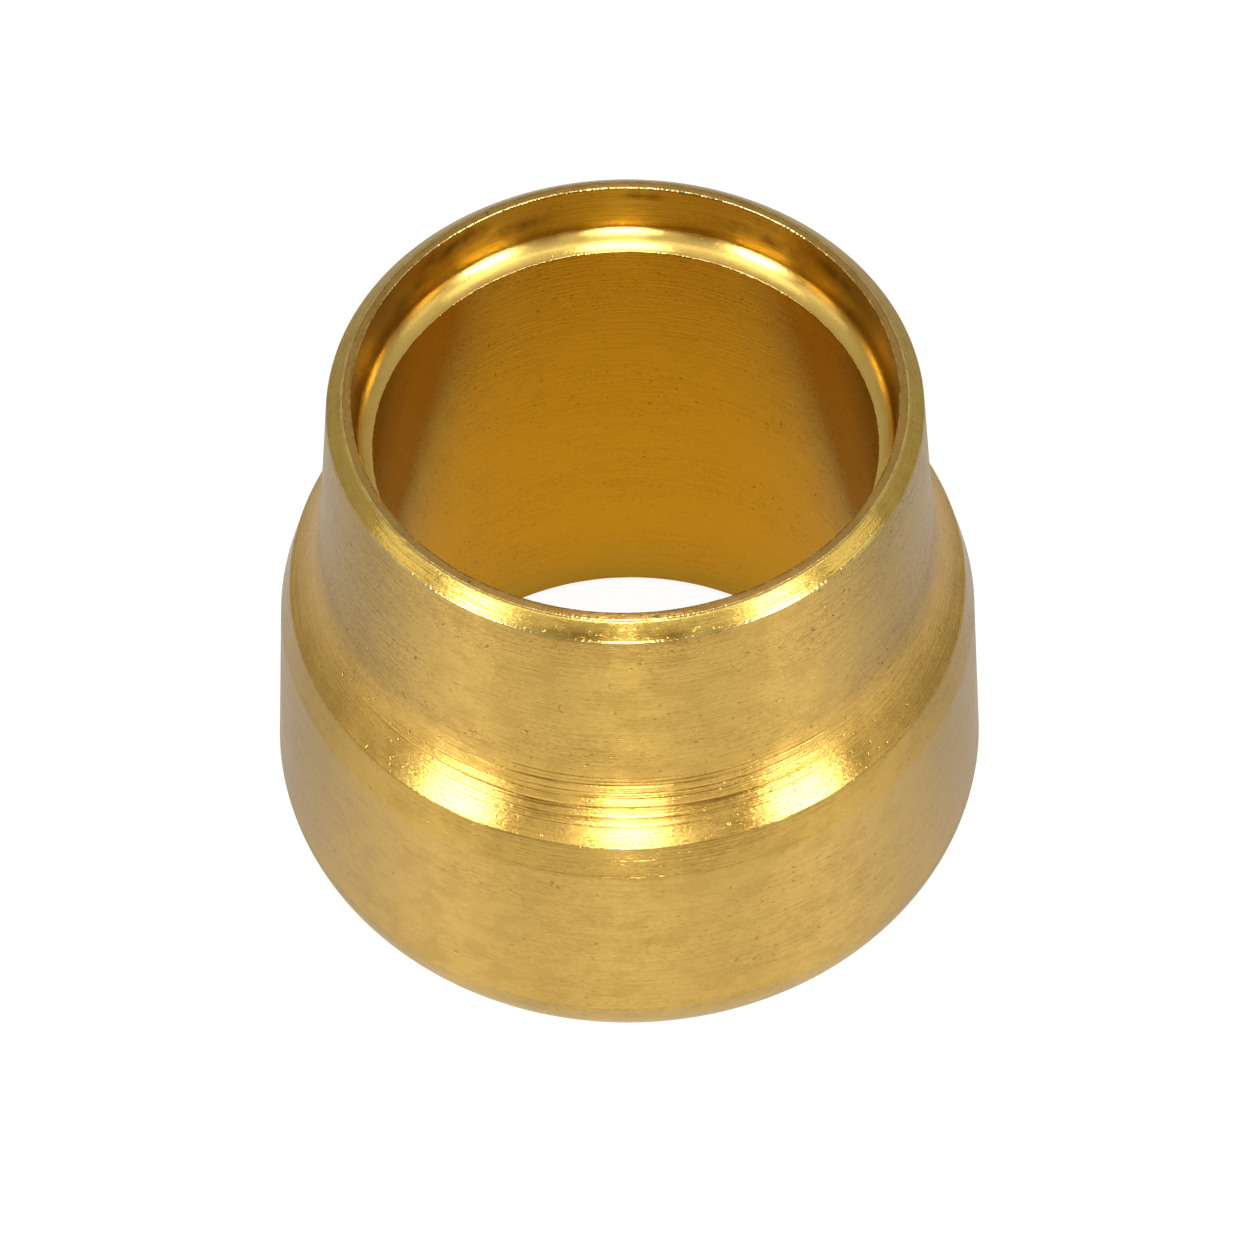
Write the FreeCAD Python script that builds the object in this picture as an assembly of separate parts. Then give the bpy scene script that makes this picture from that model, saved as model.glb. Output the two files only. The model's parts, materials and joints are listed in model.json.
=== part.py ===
"""Compression olive: one turned brass ring that seals a pipe in a fitting.

The axis is Z. The foot stands on z = 0, and the thin lip of the neck is at the top.
All lengths are millimetres, and each angle is measured from the vertical.
"""
import FreeCAD, Part
import math
import os

# Pipe that passes through the ring, and the room around it.
pipe_radius = 7.5
pipe_clearance = 0.05

# Radial steps, counted outward from the bore.
seat_floor = 0.05
seat_round = 0.53
land_width = 0.28
lip_chamfer_width = 0.48
neck_growth = 0.39
flare_growth = 1.00
shoulder_growth = 0.30
body_growth = 0.28

# Axial lengths of the outside, stacked upward from the foot.
foot_height = 2.48
body_length = 6.19
shoulder_length = 1.20
flare_length = 2.45
neck_length = 5.75
lip_chamfer_height = 0.48

# Foot: how far its rounded cone draws in, and how steeply it leaves the body.
foot_inset = 2.05
foot_lead_angle = 4.0

# Inside: straight depth of the recess at the lip, how steeply its hollow seat leaves the wall,
# and the eased lower mouth of the bore.
recess_depth = 1.75
seat_lead_angle = 20.0
mouth_chamfer = 0.25

AXIS_POINT = FreeCAD.Vector(0, 0, 0)
AXIS_UP = FreeCAD.Vector(0, 0, 1)
FULL_TURN = 360


def at(radius, height):
    """Point of the half section, in the XZ plane."""
    return FreeCAD.Vector(radius, 0, height)


def line(start, end):
    """Straight edge of the half section."""
    return Part.LineSegment(start, end).toShape()


def arc_leaving(start, heading, end):
    """Arc that leaves start along the heading and finishes at end."""
    chord = end.sub(start)
    forward = FreeCAD.Vector(chord).normalize()
    bulge = heading.sub(forward * heading.dot(forward)).normalize()
    sagitta = chord.Length / 2 * math.tan(chord.getAngle(heading) / 2)
    middle = (start + end) * 0.5 + bulge * sagitta
    return Part.Arc(start, middle, end).toShape()


def down_and_in(angle):
    """Heading that goes down and towards the axis, by an angle in degrees."""
    lead = math.radians(angle)
    return at(-math.sin(lead), -math.cos(lead))


def half_section():
    """Closed outline of the ring's wall, from the foot up the outside and down the inside."""
    bore_radius = pipe_radius + pipe_clearance
    seat_radius = bore_radius + seat_floor
    recess_radius = seat_radius + seat_round
    land_radius = recess_radius + land_width
    lip_radius = land_radius + lip_chamfer_width
    neck_radius = lip_radius + neck_growth
    shoulder_radius = neck_radius + flare_growth
    body_top_radius = shoulder_radius + shoulder_growth
    body_radius = body_top_radius + body_growth

    body_top = foot_height + body_length
    shoulder_height = body_top + shoulder_length
    flare_top = shoulder_height + flare_length
    neck_top = flare_top + neck_length
    top = neck_top + lip_chamfer_height
    recess_bottom = top - recess_depth
    seat_height = recess_bottom - seat_round

    foot_edge = at(body_radius - foot_inset, 0)
    body_foot = at(body_radius, foot_height)
    body_head = at(body_top_radius, body_top)
    shoulder = at(shoulder_radius, shoulder_height)
    neck_foot = at(neck_radius, flare_top)
    neck_head = at(lip_radius, neck_top)
    land_outer = at(land_radius, top)
    land_inner = at(recess_radius, top)
    recess_corner = at(recess_radius, recess_bottom)
    seat_outer = at(seat_radius, seat_height)
    seat_inner = at(bore_radius, seat_height)
    bore_foot = at(bore_radius, mouth_chamfer)
    mouth_edge = at(bore_radius + mouth_chamfer, 0)

    neck_heading = neck_foot.sub(neck_head)

    return [
        line(mouth_edge, foot_edge),
        arc_leaving(body_foot, down_and_in(foot_lead_angle), foot_edge),
        line(body_foot, body_head),
        line(body_head, shoulder),
        arc_leaving(neck_foot, neck_heading, shoulder),
        line(neck_foot, neck_head),
        line(neck_head, land_outer),
        line(land_outer, land_inner),
        line(land_inner, recess_corner),
        arc_leaving(recess_corner, down_and_in(seat_lead_angle), seat_outer),
        line(seat_outer, seat_inner),
        line(seat_inner, bore_foot),
        line(bore_foot, mouth_edge),
    ]


def olive():
    """The whole ring, turned about its axis."""
    outline = Part.Wire(Part.__sortEdges__(half_section()))
    return Part.Face(outline).revolve(AXIS_POINT, AXIS_UP, FULL_TURN)


os.makedirs("parts", exist_ok=True)
olive().exportStep("parts/olive_ring.step")
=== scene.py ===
"""Looks of the compression olive: one turned brass ring on a white studio floor.

The ring is turned again here as a fine mesh of the same section, with its tool grooves, eased edges
and knocks, and stands for the plain ring of the frame. Section sizes are millimetres. An azimuth is
counted in degrees from the front, which faces the camera, towards the right.
"""
import json
import math
from collections import namedtuple

import bpy
import numpy as np
from mathutils import Matrix, Vector


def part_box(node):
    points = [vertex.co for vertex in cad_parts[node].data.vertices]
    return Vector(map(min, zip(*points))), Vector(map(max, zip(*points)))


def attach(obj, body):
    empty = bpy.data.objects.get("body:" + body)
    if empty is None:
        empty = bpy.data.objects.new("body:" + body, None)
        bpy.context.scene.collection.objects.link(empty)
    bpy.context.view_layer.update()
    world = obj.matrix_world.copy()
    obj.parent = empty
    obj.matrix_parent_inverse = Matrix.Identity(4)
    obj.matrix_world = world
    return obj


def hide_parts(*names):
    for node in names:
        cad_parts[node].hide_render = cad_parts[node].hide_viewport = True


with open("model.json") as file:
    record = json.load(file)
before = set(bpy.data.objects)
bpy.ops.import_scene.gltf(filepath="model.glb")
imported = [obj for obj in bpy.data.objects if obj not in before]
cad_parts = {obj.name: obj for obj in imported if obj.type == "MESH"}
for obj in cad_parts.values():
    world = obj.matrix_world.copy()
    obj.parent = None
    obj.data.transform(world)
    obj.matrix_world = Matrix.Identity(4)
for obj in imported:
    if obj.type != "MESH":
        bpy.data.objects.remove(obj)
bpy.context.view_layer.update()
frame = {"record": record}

MM = 0.001
MICRON = 1e-6
SEED = 7

# Sizes that the frame gives.
mounts = {mount["name"]: mount for mount in frame["record"]["mounts"]}
low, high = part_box("olive_ring")
TOP = high.z / MM
BODY_RADIUS = high.x / MM
BORE_RADIUS = mounts["pipe_bore"]["dims"]["r_mm"]
RECESS_RADIUS = mounts["lip_recess"]["dims"]["r_mm"]
RECESS_DEPTH = mounts["lip_recess"]["dims"]["length_mm"]

# Section of the ring: radial steps outward, lengths upward, the inset of the foot, and the angles in
# degrees from the vertical at which the arcs of the foot and the seat begin.
SEAT_FLOOR = 0.05
LAND_WIDTH = 0.28
LIP_CHAMFER = 0.48
NECK_GROWTH = 0.39
FLARE_GROWTH = 1.00
SHOULDER_GROWTH = 0.30
FOOT_HEIGHT = 2.48
BODY_LENGTH = 6.19
SHOULDER_LENGTH = 1.20
FLARE_LENGTH = 2.45
MOUTH_CHAMFER = 0.25
FOOT_INSET = 2.05
FOOT_LEAD = 4.0
SEAT_LEAD = 20.0

# Mesh: steps round the axis and along an arc.
TURN_STEPS = 288
ARC_STEPS = 60

# Corners of the section: the least turn that makes one, how far it is eased and how far its middle is
# drawn in as a share of that, the close row behind it with the room that a run needs for one, and the
# range of turns over which its edge becomes burred.
SMOOTH_TURN = math.radians(4)
EDGE_BREAK = 0.035
EDGE_ROUND = 0.25
EDGE_SUPPORT = 0.05
SUPPORT_ROOM = 3
BURR_TURN = (math.radians(30), math.radians(60))

# Brass as it looks where it is brushed or satin, where a tool cut or formed it, on the seat, where it is
# worn, on the heel and foot, in the bore, in the sunk lip, and on an edge that is rubbed bright. The
# cut, formed, seat and edge colours are lighter partly for a bright fresh cut and partly as painted
# highlight that whitens their glints. The heel and foot colour is darker as painted shade, the shadow
# under the ring seen in the metal. The bore and sunk lip colours are a deeper amber as painted shade that
# stands in for light bounced round inside them.
BRUSHED = (0.595, 0.380, 0.088)
SATIN = (0.555, 0.352, 0.082)
CUT_AND_HIGHLIGHT = (0.90, 0.600, 0.130)
FORMED_AND_HIGHLIGHT = (0.86, 0.530, 0.120)
SEAT_AND_HIGHLIGHT = (0.88, 0.585, 0.145)
WORN = (0.66, 0.390, 0.100)
FOOT_SHADE = (0.49, 0.320, 0.078)
# Painted shade: the bore and the sunk lip are a deeper amber for light bounced round inside them.
BORE_BOUNCE_SHADE = (0.55, 0.345, 0.026)
SUNK_BOUNCE_SHADE = (0.54, 0.365, 0.045)
RUBBED_AND_GLINT = (1.00, 0.800, 0.400)

# Each run of the section: the step of its rows, the roughness of its cut, how strongly it is brushed
# and its colour. A burred edge has one row. The flare's colour grows out of the neck's by FLARE_BLEND
# times the share of the way down.
FLARE_BLEND = 2.2
Run = namedtuple("Run", "step roughness brushed colour")
RUNS = {
    # The foot and heel take painted shade, the shadow under the ring seen in the metal.
    "foot": Run(0.30, 0.34, 0.6, FOOT_SHADE),
    "heel": Run(0.12, 0.30, 0.7, FOOT_SHADE),
    "body": Run(0.20, 0.23, 0.55, SATIN),
    "shoulder": Run(0.12, 0.17, 0.6, SATIN),
    "flare": Run(0.023, 0.26, 0.8, FORMED_AND_HIGHLIGHT),
    "neck": Run(0.20, 0.23, 1.0, BRUSHED),
    "chamfer": Run(0.10, 0.16, 0.6, CUT_AND_HIGHLIGHT),
    "land": Run(0.07, 0.28, 0.7, WORN),
    "recess": Run(0.12, 0.22, 0.3, SUNK_BOUNCE_SHADE),
    "seat": Run(0.05, 0.20, 0.2, SEAT_AND_HIGHLIGHT),
    "ledge": Run(0.05, 0.28, 0.1, SEAT_AND_HIGHLIGHT),
    "bore": Run(0.60, 0.25, 0.45, BORE_BOUNCE_SHADE),
    "mouth": Run(0.12, 0.30, 0.35, BORE_BOUNCE_SHADE),
    "edge": Run(0.0, 0.20, 0.3, RUBBED_AND_GLINT),
}

# Grooves that the tool left in the flare: where the deep ones lie along it, how many fine ones there
# are and between which shares of it, the ranges of their widths and depths, where round the axis they
# are deepest, and how fast they fade from there.
DEEP_GROOVES = (0.235, 0.34, 0.465, 0.60, 0.775)
FINE_GROOVES = 24
FINE_RANGE = (0.30, 0.90)
GROOVE_WIDTH = (0.020, 0.036)
DEEP_CUT = (0.007, 0.012)
FINE_CUT = (0.002, 0.009)
GROOVE_HEADING = (math.radians(-108), math.radians(-72))
GROOVE_FADE = 5

# Wear: the deepest knock on a sharp edge, how far the land is worn down at its outer edge, and the
# depth of a notch in the rim.
KNOCK_DEPTH = 0.005
LAND_WEAR = 0.04
NOTCH_DEPTH = 0.05

# Spots on a run: share of its length, azimuth, half length round the axis and half width along it.
RIM_NOTCHES = [("chamfer", 0.97, -50.6, 0.18, 0.06), ("chamfer", 0.98, 47.0, 0.12, 0.04)]
SCUFFS = [
    ("shoulder", 0.60, -1.0, 0.8, 0.16),
    ("shoulder", 0.05, 0.0, 1.8, 0.06),
    ("shoulder", 0.60, 21.0, 0.7, 0.14),
]
# The heel spots are painted shade, the shadow under the ring seen in the metal. The two at the front of the
# chamfer are a painted dark reflection. The spots in the sunk lip are darker patches.
STAINS_AND_SHADE = [
    ("heel", 0.62, 37.0, 2.6, 0.40),
    ("heel", 0.50, -35.0, 3.0, 0.22),
    ("chamfer", 0.18, -9.0, 1.3, 0.26),
    ("chamfer", 0.18, 7.0, 1.1, 0.26),
    ("recess", 0.55, -157.0, 1.0, 0.30),
    ("recess", 0.25, -140.0, 1.4, 0.35),
    ("recess", 0.65, -128.0, 1.0, 0.40),
    ("recess", 0.20, 176.0, 0.7, 0.12),
    ("recess", 0.60, 150.0, 1.2, 0.30),
    ("recess", 0.30, 128.0, 1.3, 0.40),
]

# Share of the brass's red, green and blue that is left in a clean cut, a bright or dark stroke,
# a stain and the bottom of a groove. The stain's share also lays painted shade on the heel and a painted
# dark reflection on the front of the chamfer, and the groove's is painted shade in the tool grooves.
CLEAN = (1.0, 1.0, 1.0, 1)
BRIGHT = (1.15, 1.20, 1.40, 1)
DARK = (0.60, 0.52, 0.38, 1)
STAINED_AND_SHADED = (0.34, 0.29, 0.22, 1)
GROOVE_SHADE = (0.34, 0.25, 0.12, 1)

# Marks on the brass: the length of a grain round the axis at the mean radius and its width along the
# section, the shift that sets its noise apart, all in millimetres, and the noise's detail and roughness.
MEAN_RADIUS = 9.5
MARKS = {
    "lathe": (30.0, 0.11, 0.0, 2.0, 0.60),
    "stripes": (2.2, 0.11, 150.0, 1.0, 0.50),
    "strokes": (0.9, 0.05, 100.0, 1.0, 0.50),
    "grain": (0.16, 0.06, 450.0, 1.0, 0.50),
    "cloud": (1.0, 0.9, 200.0, 4.0, 0.65),
    "patches": (6.0, 2.0, 250.0, 1.0, 0.50),
    "ticks": (0.24, 0.07, 350.0, 0.0, 0.50),
    "pits": (0.17, 0.14, 300.0, 0.0, 0.50),
    "burr": (0.10, 0.10, 400.0, 0.0, 0.50),
    "dashes": (0.45, 0.30, 500.0, 1.0, 0.50),
    "scores": (1.6, 0.05, 550.0, 1.0, 0.50),
}
NOISE_MIDDLE = 0.5

# How far each mark stands out of the brass, in micrometres. One below zero is sunk.
BRUSHED_RELIEF = {"lathe": 13.0, "strokes": 10.0, "grain": 8.0}
PIT_RELIEF = -10.0
TICK_RELIEF = -5.0
BURR_RELIEF = 20.0

# Smooth steps: where each starts and where it is full, and its value at both.
STEPS = {
    "patches": (0.40, 0.60, 0.40, 1.0),
    "ticks": (0.75, 0.82, 0.0, 1.0),
    "pits": (0.77, 0.83, 0.0, 1.0),
    "dashes": (0.45, 0.60, 0.0, 0.80),
    "scores": (0.42, 0.58, 0.25, 1.0),
    "groove": (0.15, 0.70, 0.0, 0.85),
    "stain": (0.62, 0.40, 0.50, 1.0),
    "cloud": (0.58, 0.36, 0.0, 1.0),
    "mottles": (0.45, 0.55, 0.10, 0.26),
    "uneven": (0.30, 0.70, -0.03, 0.03),
}

# Shades that follow the brushing, in the order in which they are laid: mark, smooth step and colour.
SHADES = [
    ("stripes", (0.55, 0.30, 0.0, 0.34), DARK),
    ("strokes", (0.44, 0.26, 0.0, 0.40), DARK),
    ("strokes", (0.60, 0.76, 0.0, 0.45), BRIGHT),
    ("grain", (0.54, 0.26, 0.0, 0.62), DARK),
]
TICK_SHADE = 0.8
SCUFF_BRUSHING = 0.4

# Floor, in metres: its size, its own colour and its glow. In the metal it is fainter far out and towards
# the back, as painted shade and a painted shadow of the ring, and golden inside the bore as painted
# bounce light.
FLOOR_SIDES = 96
FLOOR_RADIUS = 2.0
FLOOR_COLOUR = 0.18
FLOOR_GLOW = 0.90
FLOOR_FAR_SHADE = 0.36
FLOOR_FADE = (0.025, 0.047)
FLOOR_BACK_SHADOW = 0.52
FLOOR_SHADE = (-0.013, 0.001)
HOLE_FADE = (0.005, 0.010)
# Painted light: the golden glow of the floor inside the bore, as the metal sees it.
HOLE_BOUNCE_TINT = (0.94, 0.62, 0.16, 1)
WHITE = (1, 1, 1, 1)

# Dome: the elevations between which it brightens, the stretch from front to back over which its upper
# part dims, and its strength near the ground, above the front and above the back.
DOME_RISE = (math.radians(12), math.radians(40))
DOME_TURN = (-0.3, 0.5)
DOME_LOW = 0.36
DOME_HIGH = 0.72
DOME_BACK = 0.46

# Lamps: azimuth and elevation in degrees, width and height in metres at the lamps' distance, and radiance.
LAMP_DISTANCE = 0.5
LAMPS = {
    "side_left": (-50, 11, 0.17, 0.34, 10.0),
    "side_left_halo": (-50, 14, 0.27, 0.42, 1.0),
    "side_left_spill": (-82, 26, 0.20, 0.16, 0.5),
    "side_left_upper": (-62, 48, 0.25, 0.18, 1.2),
    "side_right": (50, 11, 0.17, 0.34, 10.0),
    "side_right_halo": (50, 14, 0.27, 0.42, 1.0),
    "side_right_spill": (82, 26, 0.20, 0.16, 0.5),
    "side_right_upper": (62, 48, 0.25, 0.18, 1.2),
    "front": (0, 6, 0.14, 0.20, 13.0),
    "front_upper": (0, 15, 0.24, 0.12, 6.0),
    "front_wide": (0, 18, 0.42, 0.10, 0.8),
    "top": (0, 74, 0.15, 0.22, 8.0),
    "arch": (0, 60, 0.60, 0.10, 1.0),
}


def unit(vector):
    """The same direction, one long."""
    return np.asarray(vector) / np.hypot(*vector)


def arc_leaving(start, heading, end):
    """Points of the arc that leaves start along the heading and finishes at end."""
    start = np.array(start)
    chord = np.subtract(end, start)
    length = np.hypot(*chord)
    forward = unit(chord)
    heading = unit(heading)
    half_turn = math.acos(np.clip(forward @ heading, -1, 1))
    side = unit(heading - forward * (heading @ forward))
    radius = length / (2 * math.sin(half_turn))
    angles = np.linspace(-half_turn, half_turn, ARC_STEPS)
    along = radius * np.sin(angles) + length / 2
    across = radius * (np.cos(angles) - math.cos(half_turn))
    return start + along[:, None] * forward + across[:, None] * side


def down_and_in(angle):
    """Heading that goes down and towards the axis, by an angle in degrees."""
    lead = math.radians(angle)
    return (-math.sin(lead), -math.cos(lead))


def section_runs():
    """The wall's outline as named runs of points, up the outside and down the inside."""
    lip_radius = RECESS_RADIUS + LAND_WIDTH + LIP_CHAMFER
    neck_radius = lip_radius + NECK_GROWTH
    shoulder_radius = neck_radius + FLARE_GROWTH
    body_top = FOOT_HEIGHT + BODY_LENGTH
    shoulder_height = body_top + SHOULDER_LENGTH
    flare_top = shoulder_height + FLARE_LENGTH
    recess_bottom = TOP - RECESS_DEPTH
    seat_radius = BORE_RADIUS + SEAT_FLOOR
    seat_height = recess_bottom - (RECESS_RADIUS - seat_radius)

    mouth_edge = (BORE_RADIUS + MOUTH_CHAMFER, 0.0)
    foot_edge = (BODY_RADIUS - FOOT_INSET, 0.0)
    body_foot = (BODY_RADIUS, FOOT_HEIGHT)
    body_head = (shoulder_radius + SHOULDER_GROWTH, body_top)
    shoulder = (shoulder_radius, shoulder_height)
    neck_foot = (neck_radius, flare_top)
    neck_head = (lip_radius, TOP - LIP_CHAMFER)
    land_outer = (RECESS_RADIUS + LAND_WIDTH, TOP)
    land_inner = (RECESS_RADIUS, TOP)
    recess_corner = (RECESS_RADIUS, recess_bottom)
    seat_outer = (seat_radius, seat_height)
    seat_inner = (BORE_RADIUS, seat_height)
    bore_foot = (BORE_RADIUS, MOUTH_CHAMFER)

    neck_heading = np.subtract(neck_foot, neck_head)
    return {
        "foot": np.array([mouth_edge, foot_edge]),
        "heel": arc_leaving(body_foot, down_and_in(FOOT_LEAD), foot_edge)[::-1],
        "body": np.array([body_foot, body_head]),
        "shoulder": np.array([body_head, shoulder]),
        "flare": arc_leaving(neck_foot, neck_heading, shoulder)[::-1],
        "neck": np.array([neck_foot, neck_head]),
        "chamfer": np.array([neck_head, land_outer]),
        "land": np.array([land_outer, land_inner]),
        "recess": np.array([land_inner, recess_corner]),
        "seat": arc_leaving(recess_corner, down_and_in(SEAT_LEAD), seat_outer),
        "ledge": np.array([seat_outer, seat_inner]),
        "bore": np.array([seat_inner, bore_foot]),
        "mouth": np.array([bore_foot, mouth_edge]),
    }


def rows_of(points, step, head, tail):
    """Points along a run less its head and tail, with a close second row behind each sharp end."""
    lengths = np.concatenate([[0], np.cumsum(np.hypot(*np.diff(points, axis=0).T))])
    first = head
    last = lengths[-1] - tail
    marks = list(np.linspace(first, last, max(2, math.ceil((last - first) / step) + 1)))
    room = last - first > SUPPORT_ROOM * EDGE_SUPPORT
    if head and room:
        marks.append(first + EDGE_SUPPORT)
    if tail and room:
        marks.append(last - EDGE_SUPPORT)
    marks.sort()
    return np.stack([np.interp(marks, lengths, points[:, axis]) for axis in (0, 1)], axis=1)


def section():
    """Section points in order, with the sharp corners eased, the run of each and how far it is burred."""
    runs = section_runs()
    order = list(runs)
    leaving = {name: unit(points[-1] - points[-2]) for name, points in runs.items()}
    entering = {name: unit(points[1] - points[0]) for name, points in runs.items()}
    after = dict(zip(order, order[1:] + order[:1]))
    turn = {name: math.acos(min(leaving[name] @ entering[after[name]], 1)) for name in order}
    sharp = {name: turn[name] > SMOOTH_TURN for name in order}
    before = {later: name for name, later in after.items()}
    names = []
    rows = []
    burrs = []
    for name, points in runs.items():
        opens_sharp = sharp[before[name]]
        inner = rows_of(points, RUNS[name].step, EDGE_BREAK * opens_sharp, EDGE_BREAK * sharp[name])
        if not opens_sharp:
            inner = inner[1:]
        rows.extend(inner)
        names.extend([name] * len(inner))
        burrs.extend([0.0] * len(inner))
        if sharp[name]:
            corner = points[-1]
            eased = corner + EDGE_ROUND * EDGE_BREAK * (entering[after[name]] - leaving[name])
            burr = np.clip((turn[name] - BURR_TURN[0]) / (BURR_TURN[1] - BURR_TURN[0]), 0, 1)
            rows.append(eased)
            names.append("edge" if burr > 0 else name)
            burrs.append(burr)
    burrs = np.max([np.roll(burrs, shift) for shift in (-1, 0, 1)], axis=0)
    return np.array(rows), np.array(names), burrs


class Surface:
    """The section's rows and the steps round the axis, on which marks are laid."""

    def __init__(self):
        self.points, self.names, self.burrs = section()
        closed = np.vstack([self.points, self.points[:1]])
        self.reach = np.concatenate([[0], np.cumsum(np.hypot(*np.diff(closed, axis=0).T))])
        self.along = self.reach[:-1]
        self.angle = np.linspace(0, 2 * math.pi, TURN_STEPS, endpoint=False)
        self.rng = np.random.default_rng(SEED)

    def outward(self):
        """Direction that leaves the metal, at each row."""
        tangent = np.roll(self.points, -1, axis=0) - np.roll(self.points, 1, axis=0)
        tangent = tangent / np.hypot(*tangent.T)[:, None]
        return np.stack([tangent[:, 1], -tangent[:, 0]], axis=1)

    def spots(self, places):
        """Soft spots, each 1 at its middle, laid on one field."""
        field = np.zeros((len(self.along), TURN_STEPS))
        for run, share, azimuth, length, width in places:
            rows = self.along[self.names == run]
            middle = rows[0] + share * (rows[-1] - rows[0])
            turn = self.angle + math.pi / 2 - math.radians(azimuth)
            turn = (turn + math.pi) % (2 * math.pi) - math.pi
            across = np.exp(-((self.along - middle) / width) ** 2)
            round_axis = np.exp(-((turn * self.points[self.names == run, 0].mean() / length) ** 2))
            field = np.maximum(field, across[:, None] * round_axis)
        return field

    def grooves(self):
        """Depth of the tool's grooves, which run round the flare and fade in and out."""
        field = np.zeros((len(self.along), TURN_STEPS))
        rows = self.names == "flare"
        place = self.along[rows] - self.along[rows][0]
        cuts = [(share, DEEP_CUT) for share in DEEP_GROOVES]
        cuts += [(share, FINE_CUT) for share in self.rng.uniform(*FINE_RANGE, FINE_GROOVES)]
        for share, depths in cuts:
            width = self.rng.uniform(*GROOVE_WIDTH)
            cut = self.rng.uniform(*depths)
            fade = np.maximum(np.cos(self.angle - self.rng.uniform(*GROOVE_HEADING)), 0) ** GROOVE_FADE
            field[rows] += cut * np.exp(-((place - share * place[-1]) / width) ** 2)[:, None] * fade
        return field

    def tones(self):
        """Colour of each row, where the flare's colour grows out of the neck's."""
        colours = np.array([RUNS[name].colour for name in self.names])
        rows = np.flatnonzero(self.names == "flare")
        share = np.clip(np.linspace(FLARE_BLEND, 0, len(rows)), 0, 1)[:, None]
        colours[rows] = share * colours[rows] + (1 - share) * RUNS["neck"].colour
        return np.hstack([colours, np.ones((len(colours), 1))])

    def knocks(self):
        """Depth of the small dents along the sharp edges."""
        dents = self.rng.random((len(self.along), TURN_STEPS)) ** 2
        return KNOCK_DEPTH * dents * self.burrs[:, None]


def ring_faces(rows):
    """Corner numbers of the quads between neighbouring rows and steps, which close on themselves."""
    row, step = np.meshgrid(np.arange(rows), np.arange(TURN_STEPS), indexing="ij")
    corners = [(row, step), (row, step + 1), (row + 1, step + 1), (row + 1, step)]
    rows_at = np.stack([at for at, _ in corners], axis=2).reshape(-1, 4)
    steps_at = np.stack([at for _, at in corners], axis=2).reshape(-1, 4)
    return rows_at, steps_at


def turned_ring():
    """The ring as a mesh: the section carried round the axis, with tool marks cut into it."""
    surface = Surface()
    rows = len(surface.points)
    grooves = surface.grooves()
    depth = grooves + surface.knocks() + NOTCH_DEPTH * surface.spots(RIM_NOTCHES)
    shape = surface.points[:, None, :] - depth[:, :, None] * surface.outward()[:, None, :]
    radius = shape[:, :, 0]
    outside = np.maximum(radius - RECESS_RADIUS, 0) / LAND_WIDTH
    height = np.minimum(shape[:, :, 1], TOP - LAND_WEAR * outside ** 2)
    across = [radius * np.cos(surface.angle), radius * np.sin(surface.angle), height]
    verts = np.stack(across, axis=2).reshape(-1, 3) * MM
    rows_at, steps_at = ring_faces(rows)
    faces = rows_at % rows * TURN_STEPS + steps_at % TURN_STEPS

    mesh = bpy.data.meshes.new("turned_ring")
    mesh.from_pydata(verts.tolist(), [], faces.tolist())
    mesh.polygons.foreach_set("use_smooth", np.ones(len(faces), dtype=bool))
    runs = [RUNS[name] for name in surface.names]
    finish = {
        "section_mm": surface.along[:, None],
        "cut_roughness": np.array([run.roughness for run in runs])[:, None],
        "brushed": np.array([run.brushed for run in runs])[:, None],
        "burr": surface.burrs[:, None],
        "groove": grooves / DEEP_CUT[1],
        "scuff": surface.spots(SCUFFS),
        "stain": surface.spots(STAINS_AND_SHADE),
    }
    for name, values in finish.items():
        spread = np.broadcast_to(values, (rows, TURN_STEPS)).astype(np.float32).ravel()
        mesh.attributes.new(name, "FLOAT", "POINT").data.foreach_set("value", spread)
    tone = np.repeat(surface.tones(), TURN_STEPS, axis=0)
    mesh.attributes.new("tone", "FLOAT_COLOR", "POINT").data.foreach_set("color", tone.ravel())

    girth = 2 * math.pi * BODY_RADIUS
    unrolled = np.stack([steps_at / TURN_STEPS, surface.reach[rows_at] / girth], axis=2)
    mesh.uv_layers.new(name="OFBake").data.foreach_set("uv", unrolled.ravel())
    mesh.update()
    piece = bpy.data.objects.new("turned_ring", mesh)
    bpy.context.scene.collection.objects.link(piece)
    return piece


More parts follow.
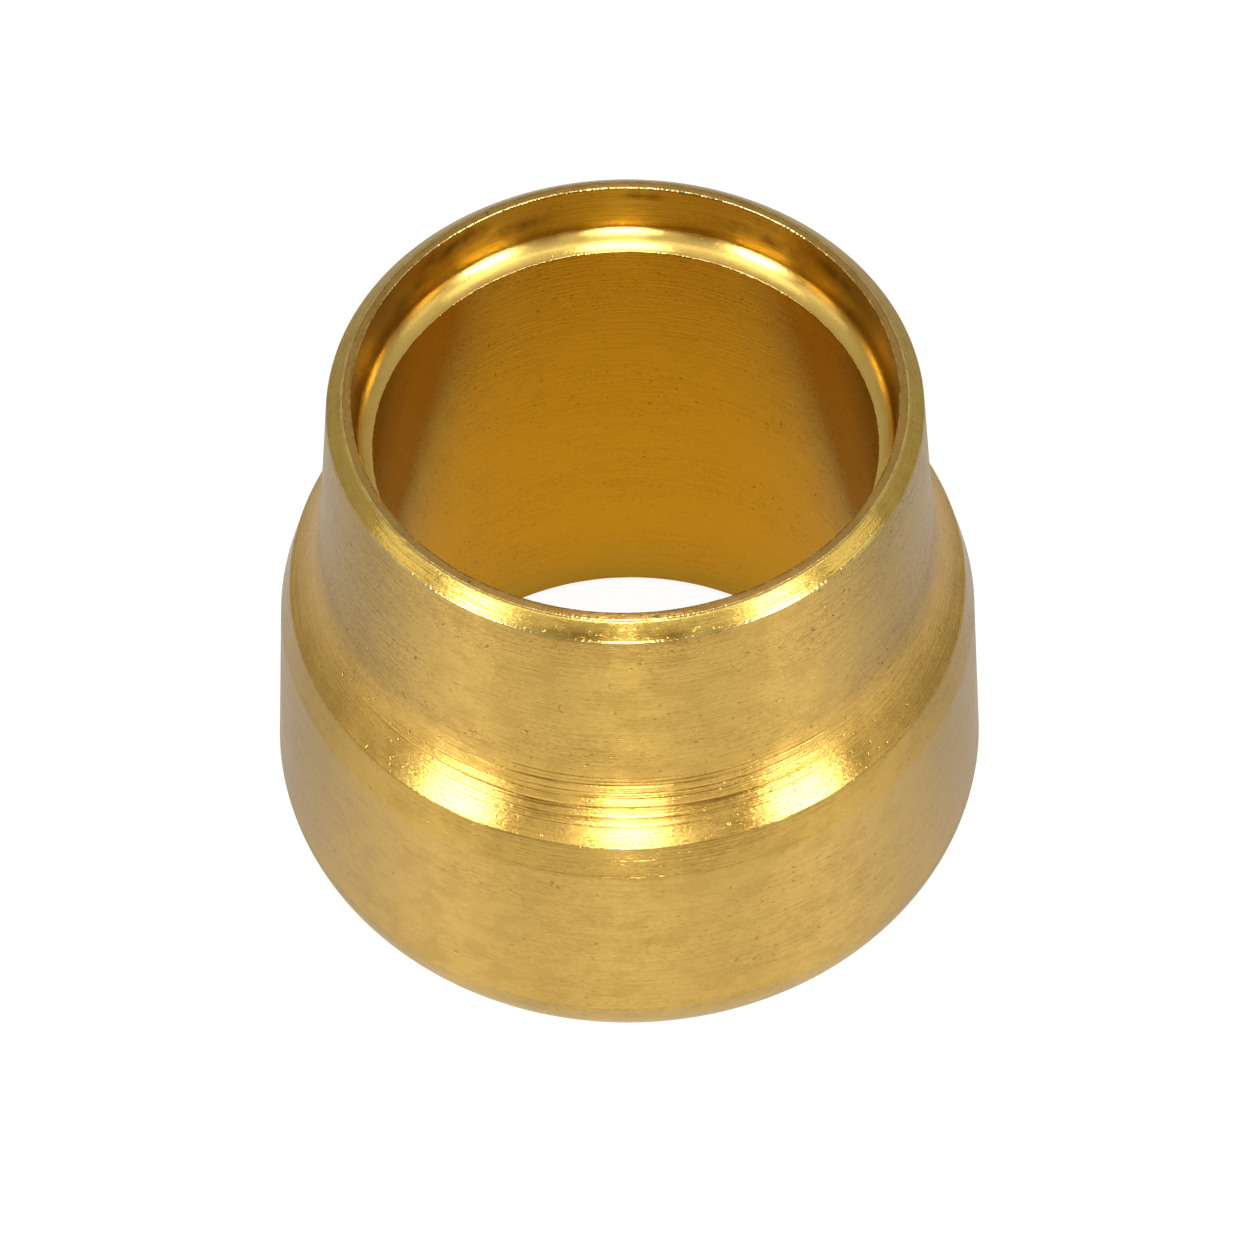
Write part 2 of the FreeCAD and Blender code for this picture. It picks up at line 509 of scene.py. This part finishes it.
class Nodes:
    """Short calls that add nodes to a tree and link them."""

    def __init__(self, tree):
        self.tree = tree

    def put(self, socket, value):
        """Set a socket, or link it where the value is another node's output."""
        if isinstance(value, bpy.types.NodeSocket):
            self.tree.links.new(value, socket)
        else:
            socket.default_value = value

    def math(self, operation, first, second=0.0):
        """The result of one operation on two values."""
        node = self.tree.nodes.new("ShaderNodeMath")
        node.operation = operation
        self.put(node.inputs[0], first)
        self.put(node.inputs[1], second)
        return node.outputs[0]

    def times(self, first, second):
        """The product of two values."""
        return self.math("MULTIPLY", first, second)

    def attribute(self, name, output="Fac"):
        """A value that the mesh carries at its points."""
        node = self.tree.nodes.new("ShaderNodeAttribute")
        node.attribute_name = name
        return node.outputs[output]

    def ramp(self, value, start, end, low_value=0.0, high_value=1.0):
        """A smooth step from one value to another."""
        node = self.tree.nodes.new("ShaderNodeMapRange")
        node.interpolation_type = "SMOOTHSTEP"
        self.put(node.inputs["Value"], value)
        node.inputs["From Min"].default_value = start
        node.inputs["From Max"].default_value = end
        node.inputs["To Min"].default_value = low_value
        node.inputs["To Max"].default_value = high_value
        return node.outputs["Result"]

    def noise(self, vector, detail, roughness):
        """Soft noise between about 0.2 and 0.8."""
        node = self.tree.nodes.new("ShaderNodeTexNoise")
        node.inputs["Scale"].default_value = 1.0
        node.inputs["Detail"].default_value = detail
        node.inputs["Roughness"].default_value = roughness
        self.put(node.inputs["Vector"], vector)
        return node.outputs["Fac"]

    def mix(self, share, first, second, blend="MIX"):
        """Colour between two colours, or the second laid over the first in another way."""
        node = self.tree.nodes.new("ShaderNodeMix")
        node.data_type = "RGBA"
        node.blend_type = blend
        self.put(node.inputs["Factor"], share)
        self.put(node.inputs["A"], first)
        self.put(node.inputs["B"], second)
        return node.outputs["Result"]


def new_material(name):
    """A material, its shader and short calls for its nodes."""
    material = bpy.data.materials.new(name)
    material.use_nodes = True
    return material, material.node_tree.nodes["Principled BSDF"], Nodes(material.node_tree)


def turned_noise(nodes):
    """Noise of each mark, with grains that lie round the axis."""
    place = nodes.tree.nodes.new("ShaderNodeTexCoord")
    split = nodes.tree.nodes.new("ShaderNodeSeparateXYZ")
    nodes.put(split.inputs[0], place.outputs["Object"])
    turn = nodes.math("ARCTAN2", split.outputs["Y"], split.outputs["X"])
    cosine = nodes.math("COSINE", turn)
    sine = nodes.math("SINE", turn)
    along = nodes.attribute("section_mm")
    noise = {}
    for name, (length, width, shift, detail, roughness) in MARKS.items():
        spot = nodes.tree.nodes.new("ShaderNodeCombineXYZ")
        nodes.put(spot.inputs["X"], nodes.times(cosine, MEAN_RADIUS / length))
        nodes.put(spot.inputs["Y"], nodes.times(sine, MEAN_RADIUS / length))
        nodes.put(spot.inputs["Z"], nodes.times(nodes.math("ADD", along, shift), 1 / width))
        noise[name] = nodes.noise(spot.outputs["Vector"], detail, roughness)
    return noise


def brass():
    """Bare turned brass: lathe lines, short brush strokes, pits, scuffs, stains and painted shade."""
    material, shader, nodes = new_material("turned_brass")
    noise = turned_noise(nodes)
    burred = nodes.attribute("burr")
    scuff = nodes.times(nodes.attribute("scuff"), SCUFF_BRUSHING)
    brushed = nodes.math("ADD", nodes.attribute("brushed"), scuff)
    worn = nodes.times(brushed, nodes.ramp(noise["patches"], *STEPS["patches"]))
    ticks = nodes.times(nodes.ramp(noise["ticks"], *STEPS["ticks"]), worn)
    pits = nodes.times(nodes.ramp(noise["pits"], *STEPS["pits"]), worn)
    burr = nodes.times(nodes.math("SUBTRACT", noise["burr"], NOISE_MIDDLE), burred)
    dashes = nodes.times(nodes.ramp(noise["dashes"], *STEPS["dashes"]), burred)
    # Painted shade in the tool grooves: where a groove is deep, its bottom is darkened.
    scores = nodes.ramp(nodes.attribute("groove"), *STEPS["groove"])
    scores = nodes.times(nodes.ramp(noise["scores"], *STEPS["scores"]), scores)
    # Stains in the sunk lip, painted shade on the heel and a painted dark reflection on the chamfer's front.
    stain = nodes.times(nodes.attribute("stain"), nodes.ramp(noise["cloud"], *STEPS["stain"]))
    mottles = nodes.ramp(brushed, *STEPS["mottles"])
    mottles = nodes.times(nodes.ramp(noise["cloud"], *STEPS["cloud"]), mottles)

    relief = [(nodes.times(noise[name], brushed), rise) for name, rise in BRUSHED_RELIEF.items()]
    relief += [(pits, PIT_RELIEF), (ticks, TICK_RELIEF), (burr, BURR_RELIEF)]
    height = 0.0
    for mark, rise in relief:
        height = nodes.math("ADD", height, nodes.times(mark, rise))
    bump = nodes.tree.nodes.new("ShaderNodeBump")
    bump.inputs["Distance"].default_value = MICRON
    nodes.put(bump.inputs["Height"], height)
    nodes.put(shader.inputs["Normal"], bump.outputs["Normal"])

    shade = nodes.mix(mottles, CLEAN, DARK)
    for name, step, colour in SHADES:
        shade = nodes.mix(nodes.times(nodes.ramp(noise[name], *step), worn), shade, colour)
    shade = nodes.mix(nodes.math("MAXIMUM", dashes, nodes.times(ticks, TICK_SHADE)), shade, DARK)
    shade = nodes.mix(scores, shade, GROOVE_SHADE)
    shade = nodes.mix(nodes.math("MAXIMUM", stain, pits), shade, STAINED_AND_SHADED)
    tone = nodes.mix(1.0, nodes.attribute("tone", "Color"), shade, "MULTIPLY")
    nodes.put(shader.inputs["Base Color"], tone)

    uneven = nodes.ramp(noise["cloud"], *STEPS["uneven"])
    nodes.put(shader.inputs["Roughness"], nodes.math("ADD", nodes.attribute("cut_roughness"), uneven))
    shader.inputs["Metallic"].default_value = 1.0
    shader.inputs["Anisotropic"].default_value = 0.85
    shader.inputs["Anisotropic Rotation"].default_value = 0.25
    tangent = nodes.tree.nodes.new("ShaderNodeTangent")
    tangent.direction_type = "RADIAL"
    tangent.axis = "Z"
    nodes.put(shader.inputs["Tangent"], tangent.outputs["Tangent"])
    return material


def white_floor():
    """Round white floor that keeps a faint shadow, and in the metal has painted shade far out and a painted
    shadow behind.
    """
    bpy.ops.mesh.primitive_circle_add(
        vertices=FLOOR_SIDES, radius=FLOOR_RADIUS, fill_type="NGON", location=(0, 0, low.z))
    floor = bpy.context.object
    floor.name = "floor"
    material, shader, nodes = new_material("floor_white")
    shader.inputs["Base Color"].default_value = (FLOOR_COLOUR, FLOOR_COLOUR, FLOOR_COLOUR, 1)
    shader.inputs["Roughness"].default_value = 1.0
    shader.inputs["Specular IOR Level"].default_value = 0.0

    place = nodes.tree.nodes.new("ShaderNodeTexCoord")
    reach = nodes.tree.nodes.new("ShaderNodeVectorMath")
    reach.operation = "LENGTH"
    nodes.put(reach.inputs[0], place.outputs["Object"])
    split = nodes.tree.nodes.new("ShaderNodeSeparateXYZ")
    nodes.put(split.inputs[0], place.outputs["Object"])
    # Painted shade far out and a painted shadow of the ring towards the back, seen only in the metal.
    fade = nodes.ramp(reach.outputs["Value"], *FLOOR_FADE, 1.0, FLOOR_FAR_SHADE)
    fade = nodes.times(fade, nodes.ramp(split.outputs["Y"], *FLOOR_SHADE, 1.0, FLOOR_BACK_SHADOW))
    # Painted light: inside the bore the floor is brighter and golden in the metal, for light bounced round
    # the bore.
    hole_bounce = nodes.ramp(reach.outputs["Value"], *HOLE_FADE, 1.0, 0.0)
    fade = nodes.math("MAXIMUM", fade, hole_bounce)
    rays = nodes.tree.nodes.new("ShaderNodeLightPath")
    mirrored = nodes.math("MAXIMUM", rays.outputs["Is Glossy Ray"], rays.outputs["Is Transmission Ray"])
    seen = nodes.math("MAXIMUM", rays.outputs["Is Camera Ray"], nodes.times(mirrored, fade))
    bounce_glow = nodes.mix(nodes.times(mirrored, hole_bounce), WHITE, HOLE_BOUNCE_TINT)
    nodes.put(shader.inputs["Emission Color"], bounce_glow)
    nodes.put(shader.inputs["Emission Strength"], nodes.times(seen, FLOOR_GLOW))
    floor.data.materials.append(material)


def studio_light():
    """Dome that is darker near the ground, and soft lamps round the ring."""
    world = bpy.data.worlds.new("studio")
    world.use_nodes = True
    nodes = Nodes(world.node_tree)
    dome = world.node_tree.nodes["Background"]
    place = nodes.tree.nodes.new("ShaderNodeTexCoord")
    split = nodes.tree.nodes.new("ShaderNodeSeparateXYZ")
    nodes.put(split.inputs[0], place.outputs["Generated"])
    rise = nodes.math("ARCSINE", split.outputs["Z"])
    lift = nodes.ramp(rise, *DOME_RISE)
    upper = nodes.ramp(split.outputs["Y"], *DOME_TURN, DOME_HIGH, DOME_BACK)
    strength = nodes.times(lift, nodes.math("SUBTRACT", upper, DOME_LOW))
    nodes.put(dome.inputs["Strength"], nodes.math("ADD", strength, DOME_LOW))
    dome.inputs["Color"].default_value = WHITE
    bpy.context.scene.world = world
    for name, (azimuth, elevation, width, height, radiance) in LAMPS.items():
        data = bpy.data.lights.new(name, "AREA")
        data.shape = "ELLIPSE"
        data.size = width
        data.size_y = height
        area = math.pi / 4 * width * height
        data.energy = radiance * math.pi * area
        lamp = bpy.data.objects.new(name, data)
        turn = math.radians(azimuth)
        rise = math.radians(elevation)
        level = Vector((math.sin(turn), -math.cos(turn), 0))
        away = level * math.cos(rise) + Vector((0, 0, math.sin(rise)))
        lamp.location = Vector((0, 0, TOP * MM / 2)) + away * LAMP_DISTANCE
        lamp.rotation_euler = away.to_track_quat("Z", "Y").to_euler()
        bpy.context.scene.collection.objects.link(lamp)


def photo_camera():
    """Camera at the photo's height, lens and slight roll."""
    distance = 260.0 * MM
    elevation = math.radians(50.616)
    below = math.radians(1.509)
    roll = math.radians(-0.733)
    data = bpy.data.cameras.new("camera")
    data.sensor_width = 36.0
    data.lens = 251.81
    data.shift_x = -0.0008
    data.clip_start = 0.01
    camera = bpy.data.objects.new("camera", data)
    aim = Vector((0, math.cos(elevation + below), -math.sin(elevation + below)))
    away = Vector((0, -math.cos(elevation), math.sin(elevation)))
    place = Vector((0, 0, TOP * MM)) + away * distance
    turn = aim.to_track_quat("-Z", "Y").to_matrix().to_4x4() @ Matrix.Rotation(roll, 4, "Z")
    camera.matrix_world = Matrix.Translation(place) @ turn
    bpy.context.scene.collection.objects.link(camera)
    bpy.context.scene.camera = camera


ring = turned_ring()
ring.data.materials.append(brass())
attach(ring, "root")
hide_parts("olive_ring")
white_floor()
studio_light()
photo_camera()
bpy.context.scene.view_settings.view_transform = "Standard"
